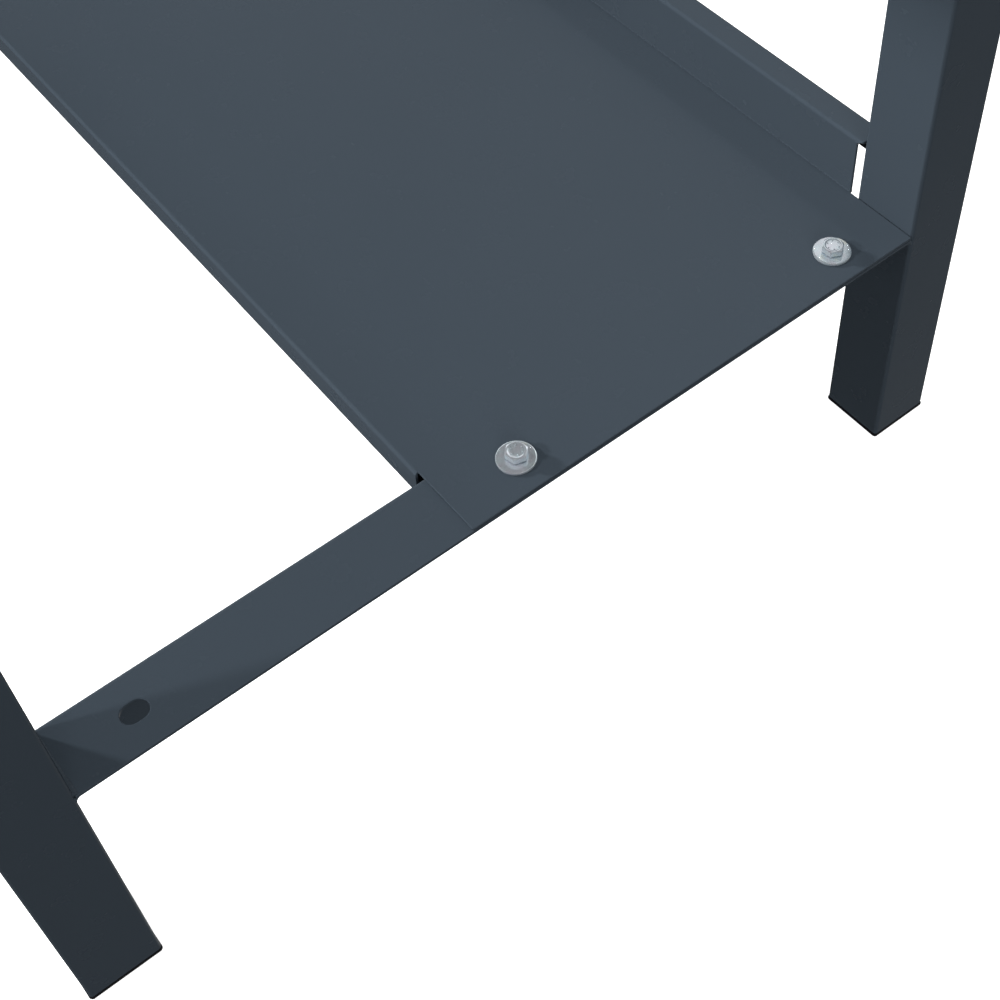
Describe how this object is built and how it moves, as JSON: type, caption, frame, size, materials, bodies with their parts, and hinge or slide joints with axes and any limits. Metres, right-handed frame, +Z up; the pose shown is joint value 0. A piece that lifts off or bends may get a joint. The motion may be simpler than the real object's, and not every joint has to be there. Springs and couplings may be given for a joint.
{
  "type": "potting bench",
  "caption": "Free-standing coated steel potting bench: welded end frames on square legs, a tray worktop with a rear lip and a half-depth lower shelf bolted to the cross-members.",
  "frame": {"origin": "on the floor, below the middle of the worktop", "axes": "+X along the bench to its right-hand end, +Y from front to rear, +Z up"},
  "size_m": [1.5, 0.756, 0.8955],
  "materials": {
    "anthracite_powder_coat": "fine satin powder coat, blue-grey anthracite",
    "zinc_plate": "bright zinc plating",
    "black_plastic": "moulded black polyethylene"
  },
  "bodies": {
    "root": {"foot_plug_front_left": "black_plastic", "foot_plug_front_right": "black_plastic", "foot_plug_rear_left": "black_plastic", "foot_plug_rear_right": "black_plastic", "leg_front_left": "anthracite_powder_coat", "leg_front_right": "anthracite_powder_coat", "leg_rear_left": "anthracite_powder_coat", "leg_rear_right": "anthracite_powder_coat", "lower_cross_member_left": "anthracite_powder_coat", "lower_cross_member_right": "anthracite_powder_coat", "lower_shelf": "anthracite_powder_coat", "rail_bolt_lower_front_left": "zinc_plate", "rail_bolt_lower_front_right": "zinc_plate", "rail_bolt_lower_rear_left": "zinc_plate", "rail_bolt_lower_rear_right": "zinc_plate", "rail_bolt_upper_front_left": "zinc_plate", "rail_bolt_upper_front_right": "zinc_plate", "rail_bolt_upper_rear_left": "zinc_plate", "rail_bolt_upper_rear_right": "zinc_plate", "rail_end_plate_front_left": "anthracite_powder_coat", "rail_end_plate_front_right": "anthracite_powder_coat", "rail_end_plate_rear_left": "anthracite_powder_coat", "rail_end_plate_rear_right": "anthracite_powder_coat", "shelf_bolt_front_left": "zinc_plate", "shelf_bolt_front_right": "zinc_plate", "shelf_bolt_rear_left": "zinc_plate", "shelf_bolt_rear_right": "zinc_plate", "shelf_lower_washer_front_left": "zinc_plate", "shelf_lower_washer_front_right": "zinc_plate", "shelf_lower_washer_rear_left": "zinc_plate", "shelf_lower_washer_rear_right": "zinc_plate", "shelf_nut_front_left": "zinc_plate", "shelf_nut_front_right": "zinc_plate", "shelf_nut_rear_left": "zinc_plate", "shelf_nut_rear_right": "zinc_plate", "shelf_washer_front_left": "zinc_plate", "shelf_washer_front_right": "zinc_plate", "shelf_washer_rear_left": "zinc_plate", "shelf_washer_rear_right": "zinc_plate", "top_rail_front": "anthracite_powder_coat", "top_rail_rear": "anthracite_powder_coat", "upper_cross_member_left": "anthracite_powder_coat", "upper_cross_member_right": "anthracite_powder_coat", "worktop": "anthracite_powder_coat", "worktop_lower_washer_front_left": "zinc_plate", "worktop_lower_washer_front_right": "zinc_plate", "worktop_lower_washer_rear_left": "zinc_plate", "worktop_lower_washer_rear_right": "zinc_plate", "worktop_nut_front_left": "zinc_plate", "worktop_nut_front_right": "zinc_plate", "worktop_nut_rear_left": "zinc_plate", "worktop_nut_rear_right": "zinc_plate", "worktop_stiffener_front": "anthracite_powder_coat", "worktop_stiffener_rear": "anthracite_powder_coat", "worktop_stud_front_left": "zinc_plate", "worktop_stud_front_right": "zinc_plate", "worktop_stud_rear_left": "zinc_plate", "worktop_stud_rear_right": "zinc_plate"}
  },
  "joints": []
}
